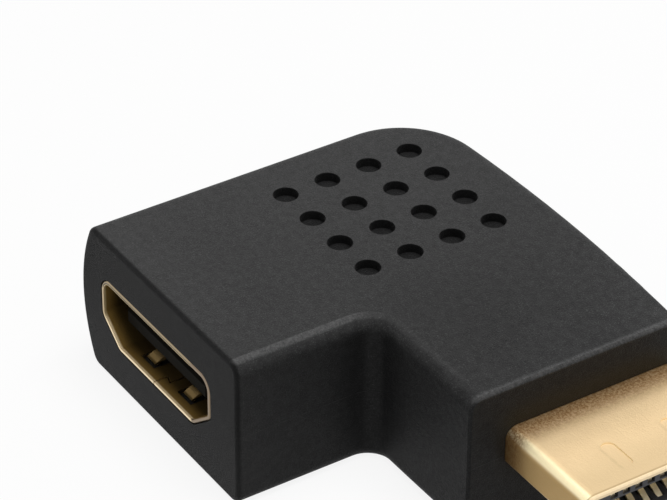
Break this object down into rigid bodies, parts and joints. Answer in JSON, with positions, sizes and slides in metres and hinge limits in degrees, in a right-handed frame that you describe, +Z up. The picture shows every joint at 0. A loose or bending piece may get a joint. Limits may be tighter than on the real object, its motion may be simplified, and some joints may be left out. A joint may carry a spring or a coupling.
{
  "type": "right angle video adapter",
  "caption": "Flat L-shaped digital video adapter: a plug on one arm, the matching port at right angles on the other, with a grid of finger dimples in the top.",
  "frame": {"origin": "Centre of the plug's root, on the end face of the moulding.", "axes": "+X points out of the plug, the port faces -Y, +Z is up out of the dimpled top."},
  "size_m": [0.0409, 0.0301, 0.0118],
  "materials": {
    "overmould": "satin black moulding with a fine, even grain",
    "first_shot": "plain dark moulding, hidden",
    "board": "green glass-fibre board, hidden",
    "plug_metal": "satin gold plating on folded sheet",
    "plug_plastic": "satin dark insulator",
    "port_metal": "satin gold plating on folded sheet",
    "port_plastic": "satin dark insulator",
    "contact_metal": "bright gold plating"
  },
  "bodies": {
    "root": {"housing": "overmould", "inner_mould": "first_shot", "circuit_board": "board", "plug_shell": "plug_metal", "plug_insulator": "plug_plastic", "socket_shell": "port_metal", "socket_tongue": "port_plastic", "plug_contact_01": "contact_metal", "socket_contact_01": "contact_metal", "plug_contact_02": "contact_metal", "socket_contact_02": "contact_metal", "plug_contact_03": "contact_metal", "socket_contact_03": "contact_metal", "plug_contact_04": "contact_metal", "socket_contact_04": "contact_metal", "plug_contact_05": "contact_metal", "socket_contact_05": "contact_metal", "plug_contact_06": "contact_metal", "socket_contact_06": "contact_metal", "plug_contact_07": "contact_metal", "socket_contact_07": "contact_metal", "plug_contact_08": "contact_metal", "socket_contact_08": "contact_metal", "plug_contact_09": "contact_metal", "socket_contact_09": "contact_metal", "plug_contact_10": "contact_metal", "socket_contact_10": "contact_metal", "plug_contact_11": "contact_metal", "socket_contact_11": "contact_metal", "plug_contact_12": "contact_metal", "socket_contact_12": "contact_metal", "plug_contact_13": "contact_metal", "socket_contact_13": "contact_metal", "plug_contact_14": "contact_metal", "socket_contact_14": "contact_metal", "plug_contact_15": "contact_metal", "socket_contact_15": "contact_metal", "plug_contact_16": "contact_metal", "socket_contact_16": "contact_metal", "plug_contact_17": "contact_metal", "socket_contact_17": "contact_metal", "plug_contact_18": "contact_metal", "socket_contact_18": "contact_metal", "plug_contact_19": "contact_metal", "socket_contact_19": "contact_metal"}
  },
  "joints": []
}
